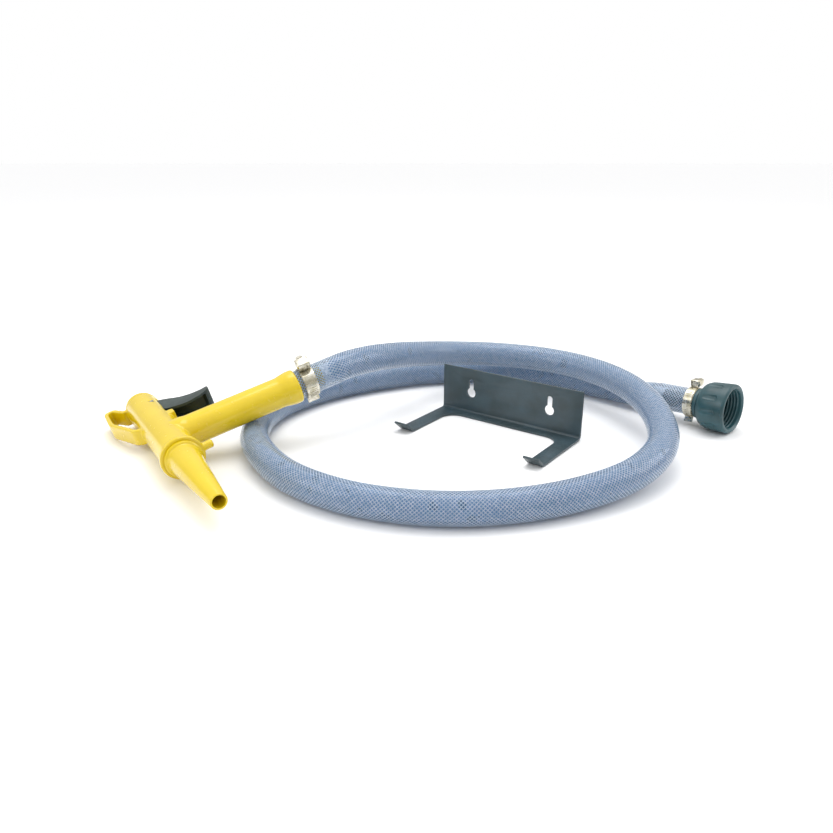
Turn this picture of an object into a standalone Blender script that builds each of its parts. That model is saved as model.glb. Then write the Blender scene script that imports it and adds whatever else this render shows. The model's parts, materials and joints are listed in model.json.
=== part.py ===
"""Gravity-feed dispensing kit: a trigger nozzle, a braided hose, a threaded coupling and a wall bracket.

The kit lies on a bench, +Z up, in metres. The origin is on the bench, under the middle of the nozzle and
the bracket. Sizes below are in millimetres and are turned into metres where a mesh or a matrix is made.
"""

import math

import bmesh
import bpy
from mathutils import Matrix, Vector

MM = 0.001
GAP = 0.3  # between pieces that touch in the real kit

# Nozzle. Its own frame has X along the spout, Y towards the handle and Z out of its flat side.
NOZZLE_AT = (-114.1, -49.3, 21.4)  # where the spout joins the barrel
NOZZLE_HEADING, NOZZLE_RISE, NOZZLE_ROLL = -58.5, 1.4, 15.5  # degrees
BARREL_R, BARREL_REAR = 16.0, -145.0
CHAMBER_R = 11.3
CAP_LENGTH = 8.5
COLLAR_R = 18.3
SPOUT_LENGTH, SPOUT_ROOT_R, SPOUT_TIP_R = 93.0, 13.3, 6.4
HANDLE_AT, HANDLE_LEAN = -50.7, 6.1  # along the barrel; degrees towards the spout
HANDLE_R, HANDLE_LENGTH, BELL_R = 13.8, 121.0, 15.5
PIVOT = (-119.0, 7.0)
STEM_R = 2.2
SHOULDER_AT = -128.1  # rear face of the stem's shoulder
PLUG_AT = -141.0  # front face of the rear cap's plug
LOOP_HEIGHT = 15.0

# Hose: 19 mm bore, 26 mm outside, 1.5 m long.
HOSE_R, HOSE_BORE_R = 13.0, 9.5
CUFF_AT_NOZZLE = (113.3, 152.0)  # along the handle, where the hose grips the nozzle's tail
CUFF_AT_COUPLING = (-42.0, -4.5)  # along the coupling
ROUTE = [
    (5.8, 70.7, 63.6), (27.5, 94.1, 63.1), (55.7, 131.7, 56.4), (81.5, 161.2, 49.4), (108.9, 181.3, 44.2),
    (136.9, 191.5, 40.9), (164.7, 193.1, 39.1), (196.7, 185.1, 38.2), (226.3, 166.9, 38.2),
    (252.2, 139.0, 38.3), (270.3, 108.2, 37.8), (281.7, 77.4, 36.0), (287.9, 32.5, 31.0),
    (282.9, -9.5, 25.0), (270.5, -36.4, 20.8), (241.5, -68.5, 16.5), (194.2, -97.2, 14.0),
    (147.5, -113.0, 13.2), (103.7, -118.6, 13.1), (60.5, -114.2, 13.1), (15.6, -97.8, 13.1),
    (-31.5, -60.6, 13.1), (-65.9, -1.9, 13.1), (-73.7, 32.8, 13.1), (-72.9, 65.9, 13.1),
    (-61.9, 102.2, 13.1), (-20.5, 155.0, 13.1), (53.9, 200.6, 13.1), (99.4, 214.3, 13.1),
    (145.4, 218.1, 13.1), (190.4, 210.7, 13.1), (232.5, 191.9, 13.1), (270.4, 162.9, 13.2),
    (303.3, 128.2, 15.6),
]

# Coupling. Its own frame has Z along the nut, out of its mouth, and starts at the nut's rear face.
COUPLING_AT = (349.4, 79.6, 22.2)
COUPLING_HEADING, COUPLING_RISE = -47.0, 4.0
NUT_R, NUT_LENGTH, NUT_BORE_R = 23.6, 30.0, 18.8

# Hose clamps, 12 mm and 9 mm wide, around the cuffs.
BAND_R, BAND_THICK = 13.4, 0.7
SCREW_HEIGHT = 18.2  # from the hose's axis

# Bracket. Its own frame has X along the wall plate, Y out from the wall and Z up.
BRACKET_AT, BRACKET_TURN = (163.5, 86.7, 0.0), 143.8
PLATE_WIDTH, PLATE_HEIGHT, SHEET = 152.4, 47.2, 2.0
WEB, ARM_WIDTH, ARM_REACH, ARM_TIP, TIP_RISE = 13.0, 15.0, 75.5, 85.6, 10.4
KEYHOLE_SPACING, KEYHOLE_AT, KEYHOLE_TOP, KEYHOLE_R, SLOT_R = 86.4, 22.6, 36.8, 5.0, 2.8


def clear_scene():
    for obj in list(bpy.data.objects):
        bpy.data.objects.remove(obj, do_unlink=True)


def material(name, colour, roughness, metallic=0.0):
    made = bpy.data.materials.new(name)
    made.use_nodes = True
    shader = made.node_tree.nodes["Principled BSDF"]
    shader.inputs["Base Color"].default_value = (*colour, 1)
    shader.inputs["Roughness"].default_value = roughness
    shader.inputs["Metallic"].default_value = metallic
    return made


def collection(name):
    made = bpy.data.collections.new(name)
    bpy.context.scene.collection.children.link(made)
    return made


def shift(*place):
    return Matrix.Translation(Vector(place) * MM)


def turn(degrees, axis):
    return Matrix.Rotation(math.radians(degrees), 4, axis)


def place_object(name, mesh, matrix, look=None):
    """A part with its look, or a cutter when it has none."""
    obj = bpy.data.objects.new(name, mesh)
    obj.matrix_world = matrix
    if look:
        mesh.materials.append(look)
        kit.objects.link(obj)
    else:
        obj.hide_render = True
        obj.display_type = "WIRE"
        cutters.objects.link(obj)
    return obj


def turned(name, profile, matrix, look=None, steps=32, closed=False):
    """Turns (radius, height) points about Z. They run down the outside, then up the inside of a ring."""
    mesh = bpy.data.meshes.new(name)
    edges = [(i, i + 1) for i in range(len(profile) - 1)]
    if closed:
        edges.append((len(profile) - 1, 0))
    mesh.from_pydata([(r * MM, 0, z * MM) for r, z in profile], edges, [])
    obj = place_object(name, mesh, matrix, look)
    screw = obj.modifiers.new("turn", "SCREW")
    screw.steps = screw.render_steps = steps
    screw.use_merge_vertices = True
    screw.merge_threshold = 0.00001
    return obj


def rod(name, radius, low, high, matrix, look=None, steps=24):
    return turned(name, [(0, high), (radius, high), (radius, low), (0, low)], matrix, look, steps)


def ring(name, outer, inner, low, high, matrix, look=None, steps=32):
    profile = [(outer, high), (outer, low), (inner, low), (inner, high)]
    return turned(name, profile, matrix, look, steps, closed=True)


def block(name, low, high, matrix, look=None):
    mesh = bpy.data.meshes.new(name)
    box = bmesh.new()
    size = [(b - a) * MM for a, b in zip(low, high)]
    centre = [(a + b) / 2 * MM for a, b in zip(low, high)]
    bmesh.ops.create_cube(box, matrix=Matrix.Translation(centre) @ Matrix.Diagonal((*size, 1)))
    box.to_mesh(mesh)
    box.free()
    return place_object(name, mesh, matrix, look)


def rounded(corners, arc_steps=5):
    """Outline points from (x, y, radius) corners."""
    points = []
    for i, (x, y, radius) in enumerate(corners):
        here = Vector((x, y))
        before = Vector(corners[i - 1][:2]) - here
        after = Vector(corners[(i + 1) % len(corners)][:2]) - here
        if radius == 0:
            points.append(here)
            continue
        half = before.angle(after) / 2
        reach = radius / math.tan(half)
        centre = here + (before.normalized() + after.normalized()).normalized() * (radius / math.sin(half))
        start = here + before.normalized() * reach - centre
        end = here + after.normalized() * reach - centre
        swing = start.angle_signed(end)
        for k in range(arc_steps + 1):
            angle = -swing * k / arc_steps
            spun = Vector((
                start.x * math.cos(angle) - start.y * math.sin(angle),
                start.x * math.sin(angle) + start.y * math.cos(angle),
            ))
            points.append(centre + spun)
    return points


def mesh_of(curve_object):
    """The curve's evaluated shape as a mesh whose caps are joined to its sides."""
    graph = bpy.context.evaluated_depsgraph_get()
    mesh = bpy.data.meshes.new_from_object(curve_object.evaluated_get(graph))
    joined = bmesh.new()
    joined.from_mesh(mesh)
    bmesh.ops.remove_doubles(joined, verts=joined.verts, dist=0.000001)
    joined.to_mesh(mesh)
    joined.free()
    bpy.data.objects.remove(curve_object, do_unlink=True)
    return mesh


def slab(name, outlines, low, high, matrix, look=None):
    """A flat outline in X and Y, with any holes, from low to high along Z."""
    curve = bpy.data.curves.new(name, "CURVE")
    curve.dimensions = "2D"
    curve.fill_mode = "BOTH"
    curve.extrude = (high - low) / 2 * MM
    for outline in outlines:
        spline = curve.splines.new("POLY")
        spline.points.add(len(outline) - 1)
        for point, (x, y) in zip(spline.points, outline):
            point.co = (x * MM, y * MM, 0, 1)
        spline.use_cyclic_u = True
    guide = bpy.data.objects.new(name + "_outline", curve)
    cutters.objects.link(guide)
    return place_object(name, mesh_of(guide), matrix @ shift(0, 0, (low + high) / 2), look)


def combine(obj, others, operation):
    """One Boolean with all the others at once, which closes cleanly where a chain of them may not."""
    group = bpy.data.collections.new(f"{obj.name}_{operation.lower()}")
    cutters.children.link(group)
    for other in others:
        cutters.objects.unlink(other)
        group.objects.link(other)
    boolean = obj.modifiers.new(operation.lower(), "BOOLEAN")
    boolean.operation = operation
    boolean.operand_type = "COLLECTION"
    boolean.collection = group


def join(obj, *others):
    combine(obj, others, "UNION")


def cut(obj, *others):
    combine(obj, others, "DIFFERENCE")


def soften(obj, width, segments=2):
    bevel = obj.modifiers.new("soft_edges", "BEVEL")
    bevel.width = width * MM
    bevel.segments = segments
    bevel.limit_method = "ANGLE"
    bevel.angle_limit = math.radians(40)
    return obj


clear_scene()
kit = collection("dispensing_kit")
cutters = collection("cutters")

yellow = material("yellow_plastic", (0.80, 0.62, 0.02), 0.28)
dark = material("dark_trigger_plastic", (0.03, 0.045, 0.04), 0.45)
teal = material("dark_coupling_plastic", (0.03, 0.09, 0.10), 0.4)
paint = material("bracket_paint", (0.045, 0.075, 0.08), 0.45)
steel = material("zinc_plated_steel", (0.65, 0.64, 0.60), 0.35, 1.0)
spring_steel = material("spring_steel", (0.55, 0.55, 0.56), 0.3, 1.0)
stainless = material("stainless_steel", (0.6, 0.6, 0.6), 0.3, 1.0)
rubber = material("black_rubber", (0.02, 0.02, 0.02), 0.7)
clear_hose = material("clear_braided_hose", (0.35, 0.50, 0.70), 0.2)

# ---- Nozzle -----------------------------------------------------------------------------------------------

nozzle = (
    shift(*NOZZLE_AT)
    @ turn(NOZZLE_HEADING, "Z")
    @ turn(-NOZZLE_RISE, "Y")
    @ turn(NOZZLE_ROLL, "X")
)
barrel = nozzle @ turn(90, "Y")  # Z runs along the spout
handle = nozzle @ shift(HANDLE_AT, 0, 0) @ turn(-HANDLE_LEAN, "Z") @ turn(-90, "X")  # Z runs up the handle

body = turned(
    "nozzle_body",
    [(0, -0.4), (COLLAR_R - 0.5, -0.4), (COLLAR_R, -1.0), (COLLAR_R, -5.6), (COLLAR_R - 0.6, -6.4),
     (BARREL_R, -6.8), (BARREL_R, BARREL_REAR), (0, BARREL_REAR)],
    barrel, yellow, steps=40,
)
grip = turned(
    "handle_solid",
    [(0, HANDLE_LENGTH), (BELL_R - 1.2, HANDLE_LENGTH), (BELL_R - 0.3, HANDLE_LENGTH - 0.6),
     (BELL_R, HANDLE_LENGTH - 2), (BELL_R, HANDLE_LENGTH - 7), (HANDLE_R, HANDLE_LENGTH - 17),
     (HANDLE_R, 20), (HANDLE_R + 0.8, 15), (HANDLE_R + 0.8, 2), (0, 2)],
    handle, steps=36,
)
peg = turned(
    "hook_peg_solid", [(0, 26.5), (2.6, 26.5), (3.6, 25.5), (3.6, 8), (0, 8)],
    nozzle @ shift(-4.6, 0, 0) @ turn(-90, "X"), steps=16,
)
loop_outside = rounded(
    [(BARREL_REAR + 0.2, -5, 0), (BARREL_REAR + 0.2, -16.8, 2),
     (-159.9, -24, 5), (-158.9, -34, 6), (-124, -35.5, 30),
     (-84, -22, 12), (-72, -5, 0)]
)
loop_inside = rounded(
    [(-140.5, -8, 0), (-140.5, -19.2, 2), (-155.7, -26.4, 2), (-155.0, -30.6, 3), (-124, -31.2, 26),
     (-87, -18.6, 9), (-78, -8, 0)]
)
loop = slab("hang_loop_solid", [loop_outside], -LOOP_HEIGHT / 2, LOOP_HEIGHT / 2, nozzle)
loop_hole = slab("hang_loop_hole", [loop_inside], -LOOP_HEIGHT, LOOP_HEIGHT, nozzle)
cut(loop, loop_hole)
guard = block("slot_guard_solid", (-89.5, 9, -10.5), (-80.5, 18, 10.5), nozzle)
join(body, loop, grip, peg, guard)

rear_chamber = rod("rear_chamber", CHAMBER_R, BARREL_REAR - 5, -84, barrel, steps=32)
front_chamber = rod("front_chamber", CHAMBER_R - 0.3, -72, -15, barrel, steps=32)
spigot_bore = rod("spigot_bore", 12.8, -16, 5, barrel, steps=32)
gland_bore = turned(
    "gland_bore", [(0, -70), (2.6, -70), (2.6, -77), (5.2, -77), (5.2, -86), (0, -86)], barrel, steps=24
)
handle_bore = turned(
    "handle_bore", [(0, 125), (13.4, 125), (13.4, 112.9), (9.3, 112.9), (9.3, 6), (0, 6)], handle, steps=32
)
trigger_slot = block("trigger_slot", (-134.5, 4, -9.6), (-89.8, 24, 9.6), nozzle)
pin_hole = rod("pin_hole", 2.3, -20, 20, nozzle @ shift(*PIVOT, 0), steps=20)
cut(body, rear_chamber, front_chamber, spigot_bore, gland_bore, handle_bore, trigger_slot, pin_hole)

cap_top = BARREL_REAR - GAP
turned(
    "rear_cap",
    [(0, PLUG_AT), (10.9, PLUG_AT), (10.9, cap_top), (BARREL_R, cap_top), (BARREL_R, cap_top - 3),
     (BARREL_R - 0.8, cap_top - 5.4), (BARREL_R - 2.8, cap_top - 7.4), (BARREL_R - 5, cap_top - CAP_LENGTH + 0.3),
     (0, cap_top - CAP_LENGTH)],
    barrel, yellow, steps=40,
)

spout = turned(
    "spout",
    [(12.4, -10.8), (12.4, 0), (15.6, 0), (15.6, 2.4), (14.6, 3.2), (SPOUT_ROOT_R, 4.4),
     (SPOUT_ROOT_R - 0.5, 12), (SPOUT_TIP_R, SPOUT_LENGTH - 0.6), (SPOUT_TIP_R - 0.5, SPOUT_LENGTH),
     (4.9, SPOUT_LENGTH), (4.9, SPOUT_LENGTH - 8), (9.6, 8), (9.6, -10.8)][::-1],
    barrel, yellow, steps=40, closed=True,
)
ring("seat_ring", 12.4, 6.6, -15.7, -11.1, barrel, rubber)

turned(
    "valve_stem",
    [(0, -17.6), (STEM_R, -17.6), (STEM_R, SHOULDER_AT + 4.3), (6.5, SHOULDER_AT + 4.3), (6.5, SHOULDER_AT),
     (STEM_R, SHOULDER_AT), (STEM_R, -135), (0, -135)],
    barrel, stainless, steps=24,
)
turned(
    "valve_poppet",
    [(0, -12.2), (4.2, -12.2), (6.0, -16.1), (9.6, -16.1), (9.6, -19.0), (7.6, -21.5), (STEM_R + GAP, -21.5),
     (STEM_R + GAP, -17.3), (0, -17.3)],
    barrel, rubber, steps=28,
)


def spring_points(radius, start, end, turns, per_turn=14):
    """A coil along Z whose first and last turns lie flat."""
    count = int(turns * per_turn)
    points = []
    for i in range(count + 1):
        share = i / count
        climb = min(1, max(0, (share * turns - 1) / (turns - 2)))
        angle = 2 * math.pi * turns * share
        height = start + (end - start) * climb
        flat = 1.7 * (min(1, share * turns) - 1 + max(0, share * turns - turns + 1))
        points.append(Vector((radius * math.cos(angle), radius * math.sin(angle), height + flat)))
    return points


def wire(name, points, radius, matrix, look, resolution=2):
    curve = bpy.data.curves.new(name, "CURVE")
    curve.dimensions = "3D"
    curve.bevel_depth = radius * MM
    curve.bevel_resolution = resolution
    curve.use_fill_caps = True
    spline = curve.splines.new("POLY")
    spline.points.add(len(points) - 1)
    for place, point in zip(spline.points, points):
        place.co = (*(Vector(point) * MM), 1)
    obj = bpy.data.objects.new(name, curve)
    obj.matrix_world = matrix
    curve.materials.append(look)
    kit.objects.link(obj)
    return obj


wire("return_spring", spring_points(5.2, PLUG_AT + 2.9, SHOULDER_AT - 3.0, 5, 14), 0.65, barrel, spring_steel, 1)

packing = turned(
    "gland_packing",
    [(3.7 + 1.15 * math.cos(a), -78.6 + 1.15 * math.sin(a)) for a in
     [math.radians(90 - 360 * k / 10) for k in range(10)]],
    barrel, rubber, steps=24, closed=True,
)
ring("gland_bush", 4.9, 2.5, -84, -80.2, barrel, stainless, 24)

# The trigger turns about the pin, so its origin is on the pin's axis.
pivot = nozzle @ shift(*PIVOT, 0)
rod("pivot_pin", 2.0, -14.1, 14.1, pivot, steel, steps=20)
finger_side = [(-9.5, 2.2), (-7.6, 8), (-1.5, 15.5), (6.5, 24), (10.6, 34), (11.2, 44), (9.6, 50.2)]
handle_side = [(15.6, 50.0), (21.5, 43), (25.5, 35), (27.6, 25), (25.0, 15), (21.5, 8), (17.0, 3.6), (8.5, 1.8)]
hub = [(4.4 * math.cos(a), 4.4 * math.sin(a)) for a in
       [math.radians(angle) for angle in range(0, -181, -20)]]
trigger = slab("trigger", [finger_side + handle_side + hub], -9.2, 9.2, pivot, dark)
pocket_outline = [(5.2, 9), (4.5, 14.5), (9.8, 22.5), (14, 33), (14.6, 43), (24, 46), (34, 34), (34, 9)]
pocket = slab("trigger_pocket", [pocket_outline], -6.9, 6.9, pivot)
cut(trigger, pocket)
arms = [block("fork_arm_solid", (-4.5, -13.3, low), (1.5, 0, low + 3), pivot) for low in (-5.7, 2.7)]
join(trigger, *arms)
cut(trigger, rod("trigger_bore", 2.35, -20, 20, pivot, steps=20))

# The hose tail is one piece with the handle's bore and shows through the clear hose.
barb = [(9.25, 143.0)]
for crest in (139.0, 134.0, 129.0, 124.0):
    barb += [(9.25, crest), (8.5, crest - 0.6), (8.6, crest - 4.2)]
turned(
    "nozzle_hose_tail",
    [(8.2, 144.5), *barb, (9.0, 119.0), (9.0, 92.0), (6.6, 92.0), (6.6, 144.5)],
    handle, yellow, steps=32, closed=True,
)

# ---- Coupling ---------------------------------------------------------------------------------------------

coupling = (
    shift(*COUPLING_AT) @ turn(COUPLING_HEADING, "Z") @ turn(-COUPLING_RISE, "Y") @ turn(90, "Y") @ turn(-90, "Z")
)
nut = turned(
    "coupling_nut",
    [(NUT_BORE_R + 1.4, NUT_LENGTH), (NUT_R - 1.6, NUT_LENGTH), (NUT_R - 0.4, NUT_LENGTH - 0.9),
     (NUT_R, NUT_LENGTH - 2.6), (NUT_R - 0.2, NUT_LENGTH - 8), (22.6, 9), (21.4, 5), (18.5, 1.6), (15.4, 0),
     (12.8, 0), (12.8, 5), (NUT_BORE_R, 5), (NUT_BORE_R, NUT_LENGTH - 1.4)],
    coupling, teal, steps=48, closed=True,
)
flutes = [
    rod("nut_flute", 4.2, 5.5, NUT_LENGTH - 8.5, coupling @ turn(36 * k, "Z") @ shift(NUT_R + 2.6, 0, 0), steps=12)
    for k in range(10)
]
cut(nut, *flutes)
tail_barb = []
for crest in (-14.0, -20.0, -26.0, -32.0):
    tail_barb += [(8.5, crest + 4.8), (9.25, crest), (8.5, crest - 0.6)]
turned(
    "coupling_hose_tail",
    [(17.2, 8.2), (17.2, 5.4), (12.2, 5.4), (12.2, -0.6), (14.4, -0.6), (14.8, -1.4), (14.4, -4.2),
     (9.0, -4.2), *tail_barb, (8.4, -37.5), (6.8, -38.6), (6.8, 8.2)],
    coupling, teal, steps=36, closed=True,
)
ring("coupling_washer", 17.8, 8.5, 8.5, 11.3, coupling, rubber)

# ---- Hose -------------------------------------------------------------------------------------------------


def smooth_curve(points, spacing):
    """Points every `spacing` along a centripetal Catmull-Rom curve through the given points."""
    points = [Vector(p) for p in points]
    padded = [2 * points[0] - points[1], *points, 2 * points[-1] - points[-2]]
    fine = []
    for a, b, c, d in zip(padded, padded[1:], padded[2:], padded[3:]):
        t0, t1 = 0.0, math.sqrt((b - a).length)
        t2 = t1 + math.sqrt((c - b).length)
        t3 = t2 + math.sqrt((d - c).length)
        for k in range(24):
            t = t1 + (t2 - t1) * k / 24
            ab = a.lerp(b, (t - t0) / (t1 - t0))
            bc = b.lerp(c, (t - t1) / (t2 - t1))
            cd = c.lerp(d, (t - t2) / (t3 - t2))
            abc = ab.lerp(bc, (t - t0) / (t2 - t0))
            bcd = bc.lerp(cd, (t - t1) / (t3 - t1))
            fine.append(abc.lerp(bcd, (t - t1) / (t2 - t1)))
    fine.append(points[-1])
    total = sum((q - p).length for p, q in zip(fine, fine[1:]))
    count = round(total / spacing)
    even, walked, goal = [fine[0]], 0.0, total / count
    for p, q in zip(fine, fine[1:]):
        step = (q - p).length
        while walked + step >= goal * len(even) and len(even) < count:
            even.append(p.lerp(q, (goal * len(even) - walked) / step))
        walked += step
    return even + [fine[-1]]


def along(frame, height):
    return (frame @ Vector((0, 0, height * MM))) / MM


ring("hose_end_at_nozzle", HOSE_R, HOSE_BORE_R, *CUFF_AT_NOZZLE, handle, clear_hose)
ring("hose_end_at_coupling", HOSE_R, HOSE_BORE_R, *CUFF_AT_COUPLING, coupling, clear_hose)
hose_start = along(handle, CUFF_AT_NOZZLE[1] + GAP)
hose_end = along(coupling, CUFF_AT_COUPLING[0] - GAP)
hose_first = along(handle, CUFF_AT_NOZZLE[1] + 4)
hose_last = along(coupling, CUFF_AT_COUPLING[0] - 4)
hose_middle = smooth_curve([hose_first, *ROUTE, hose_last], 26)
wire("hose", [hose_start, *hose_middle, hose_end], HOSE_R, Matrix(), clear_hose, 3)

# ---- Hose clamps ------------------------------------------------------------------------------------------


def clamp(prefix, frame, width):
    """A worm-drive clamp. The frame has Z along the hose and X towards the screw housing."""
    half = width / 2
    band = ring(prefix + "_band", BAND_R + BAND_THICK, BAND_R, -half, half, frame, steel, 40)
    overlap = ring(
        prefix + "_tail_solid", BAND_R + 2 * BAND_THICK, BAND_R + 0.2, -half + 0.4, half - 0.4, frame, None, 40
    )
    keep = block(prefix + "_tail_away", (-20, -20, -20), (20, 0, 20), frame @ turn(-25, "Z"))
    slots = [
        block(
            prefix + "_worm_slot", (BAND_R + 0.9, -0.5, -half + 2), (BAND_R + 3, 0.5, half - 2),
            frame @ turn(40 + 16 * k, "Z"),
        )
        for k in range(7)
    ]
    cut(overlap, keep, *slots)
    lug = block(
        prefix + "_tail_end_solid", (BAND_R + 0.3, -0.9, -half + 0.4), (BAND_R + 6.5, 0, half - 0.4),
        frame @ turn(155, "Z"),
    )
    join(band, overlap, lug)
    screw_axis = frame @ shift(SCREW_HEIGHT, 0, 0) @ turn(90, "X")
    inner_side = BAND_R + 2 * BAND_THICK + GAP
    housing = soften(
        block(prefix + "_housing", (inner_side, -9.5, -half), (SCREW_HEIGHT + 3.8, 0.5, half), frame, steel), 0.8
    )
    cut(housing, rod(prefix + "_housing_bore", 3.0, -30, 30, screw_axis, steps=20))
    screw = turned(
        prefix + "_screw",
        [(0, 13.6), (2.6, 13.6), (3.6, 13.0), (3.6, 10.0), (2.6, 10.0), (2.6, -0.2), (0, -0.2)],
        screw_axis, steel, steps=18,
    )
    cut(screw, block(prefix + "_screw_slot", (-6, -0.5, 12.5), (6, 0.5, 15), screw_axis))
    return band


clamp("nozzle_clamp", handle @ shift(0, 0, 131) @ turn(-66, "Z"), 12)
clamp("coupling_clamp", coupling @ shift(0, 0, -9.5) @ turn(-90, "Z"), 9)

# ---- Wall bracket -----------------------------------------------------------------------------------------

bracket_frame = shift(*BRACKET_AT) @ turn(BRACKET_TURN, "Z")
bend = 2.5
side_view = rounded(
    [(0, 0, bend + SHEET), (ARM_REACH, 0, bend + SHEET), (ARM_TIP, TIP_RISE - 1.4, 0.6), (ARM_TIP - 1.4, TIP_RISE, 0.6),
     (ARM_REACH - 0.8, SHEET, bend), (SHEET, SHEET, bend), (SHEET, PLATE_HEIGHT, 0.6), (0, PLATE_HEIGHT, 0.6)],
    4,
)
# The side view is drawn in Y and Z, so its slab is stood up along X.
stood = Matrix(((0, 0, 1, 0), (1, 0, 0, 0), (0, 1, 0, 0), (0, 0, 0, 1)))
bracket = slab("wall_bracket", [side_view], -PLATE_WIDTH / 2, PLATE_WIDTH / 2, bracket_frame @ stood, paint)
inner = PLATE_WIDTH / 2 - ARM_WIDTH
notch = slab(
    "bracket_notch",
    [rounded([(-inner, 120, 0), (-inner, WEB, 15), (inner, WEB, 15), (inner, 120, 0)], 7)],
    -10, 30, bracket_frame,
)
flank = math.asin(SLOT_R / KEYHOLE_R)
round_end = [math.pi - flank + (2 * flank - 2 * math.pi) * k / 20 for k in range(21)]
slot_end = [math.pi - math.pi * k / 8 for k in range(9)]
slot_middle = KEYHOLE_TOP - KEYHOLE_AT - SLOT_R
keyhole_outline = [(KEYHOLE_R * math.sin(a), -KEYHOLE_R * math.cos(a)) for a in round_end]
keyhole_outline += [(SLOT_R * math.cos(a), slot_middle + SLOT_R * math.sin(a)) for a in slot_end]
upright = turn(90, "X")
keyholes = [
    slab("keyhole", [keyhole_outline], -10, 10, bracket_frame @ shift(x, 0, KEYHOLE_AT) @ upright)
    for x in (-KEYHOLE_SPACING / 2, KEYHOLE_SPACING / 2)
]
cut(bracket, notch, *keyholes)
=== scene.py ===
# Looks for the gravity-feed dispensing kit: trigger nozzle, braided hose, threaded coupling and wall bracket.
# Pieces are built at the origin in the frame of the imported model. Sizes are in millimetres and are turned
# into metres where a mesh or a matrix is made.

import json
import math

import bmesh
import bpy
from mathutils import Matrix, Vector

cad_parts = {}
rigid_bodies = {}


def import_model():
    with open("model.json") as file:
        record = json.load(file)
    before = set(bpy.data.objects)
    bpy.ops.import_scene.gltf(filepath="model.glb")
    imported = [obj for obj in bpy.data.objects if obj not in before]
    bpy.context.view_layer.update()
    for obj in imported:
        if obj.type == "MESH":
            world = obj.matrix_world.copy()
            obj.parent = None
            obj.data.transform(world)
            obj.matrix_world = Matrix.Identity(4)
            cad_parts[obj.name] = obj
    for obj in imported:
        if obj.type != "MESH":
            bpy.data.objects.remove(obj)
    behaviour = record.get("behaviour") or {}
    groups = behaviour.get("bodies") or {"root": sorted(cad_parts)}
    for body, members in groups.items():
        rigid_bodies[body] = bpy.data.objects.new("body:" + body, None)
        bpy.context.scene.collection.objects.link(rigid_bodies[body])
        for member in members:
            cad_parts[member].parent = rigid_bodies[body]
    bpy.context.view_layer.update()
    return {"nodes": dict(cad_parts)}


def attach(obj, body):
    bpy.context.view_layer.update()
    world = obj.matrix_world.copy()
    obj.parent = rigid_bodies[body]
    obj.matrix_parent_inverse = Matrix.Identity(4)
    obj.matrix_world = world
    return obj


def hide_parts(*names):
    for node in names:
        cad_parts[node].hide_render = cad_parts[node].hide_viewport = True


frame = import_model()

mm = 0.001
scene = bpy.context.scene

# Places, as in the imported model


def shift(*place):
    return Matrix.Translation(Vector(place) * mm)


def turn(degrees, axis):
    return Matrix.Rotation(math.radians(degrees), 4, axis)


nozzleFrame = shift(-114.1, -49.3, 21.4) @ turn(-58.5, "Z") @ turn(-1.4, "Y") @ turn(15.5, "X")
barrelFrame = nozzleFrame @ turn(90, "Y")
handleFrame = nozzleFrame @ shift(-50.7, 0, 0) @ turn(-6.1, "Z") @ turn(-90, "X")
pivotFrame = nozzleFrame @ shift(-119, 7, 0)
couplingFrame = shift(349.4, 79.6, 22.2) @ turn(-47, "Z") @ turn(-4, "Y") @ turn(90, "Y") @ turn(-90, "Z")
bracketFrame = shift(163.5, 86.7, 0) @ turn(143.8, "Z")

hose = {
    "radius": 13.0,
    "bore": 9.5,
    "sides": 56,
    "clearStations": 12,
    "braidRadius": 12.3,
    "strands": 26,
    "strandWidth": 1.05,
    "cuffAtNozzle": (113.3, 152.0),
    "cuffAtCoupling": (-42.0, -4.5),
    "route": [
        (5.8, 70.7, 63.6), (27.5, 94.1, 63.1), (55.7, 131.7, 56.4), (81.5, 161.2, 49.4), (108.9, 181.3, 44.2),
        (136.9, 191.5, 40.9), (164.7, 193.1, 39.1), (196.7, 185.1, 38.2), (226.3, 166.9, 38.2),
        (252.2, 139.0, 38.3), (270.3, 108.2, 37.8), (281.7, 77.4, 36.0), (287.9, 32.5, 31.0),
        (282.9, -9.5, 25.0), (270.5, -36.4, 20.8), (241.5, -68.5, 16.5), (194.2, -97.2, 14.0),
        (147.5, -113.0, 13.2), (103.7, -118.6, 13.1), (60.5, -114.2, 13.1), (15.6, -97.8, 13.1),
        (-31.5, -60.6, 13.1), (-65.9, -1.9, 13.1), (-73.7, 32.8, 13.1), (-72.9, 65.9, 13.1),
        (-61.9, 102.2, 13.1), (-20.5, 155.0, 13.1), (53.9, 200.6, 13.1), (99.4, 214.3, 13.1),
        (145.4, 218.1, 13.1), (190.4, 210.7, 13.1), (232.5, 191.9, 13.1), (270.4, 162.9, 13.2),
        (303.3, 128.2, 15.6),
    ],
}

# Camera

camera = bpy.data.objects.new("camera", bpy.data.cameras.new("camera"))
camera.data.sensor_width = 36
camera.data.lens = 31.51
camera.location = (0.0725, -0.5845, 0.2597)
camera.rotation_euler = (math.radians(69.315), 0, 0)
scene.collection.objects.link(camera)
scene.camera = camera

# Materials


# A colour as it is seen on a screen, such as "#e8d02a", as the linear values that Blender takes.
def linear(hexColour):
    values = [int(hexColour[i:i + 2], 16) / 255 for i in (1, 3, 5)]
    return (*[v / 12.92 if v <= 0.04045 else ((v + 0.055) / 1.055) ** 2.4 for v in values], 1)


def newMaterial(name, settings):
    made = bpy.data.materials.new(name)
    made.use_nodes = True
    shader = made.node_tree.nodes["Principled BSDF"]
    for socket, value in settings.items():
        shader.inputs[socket].default_value = value
    return made, made.node_tree, shader


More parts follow.
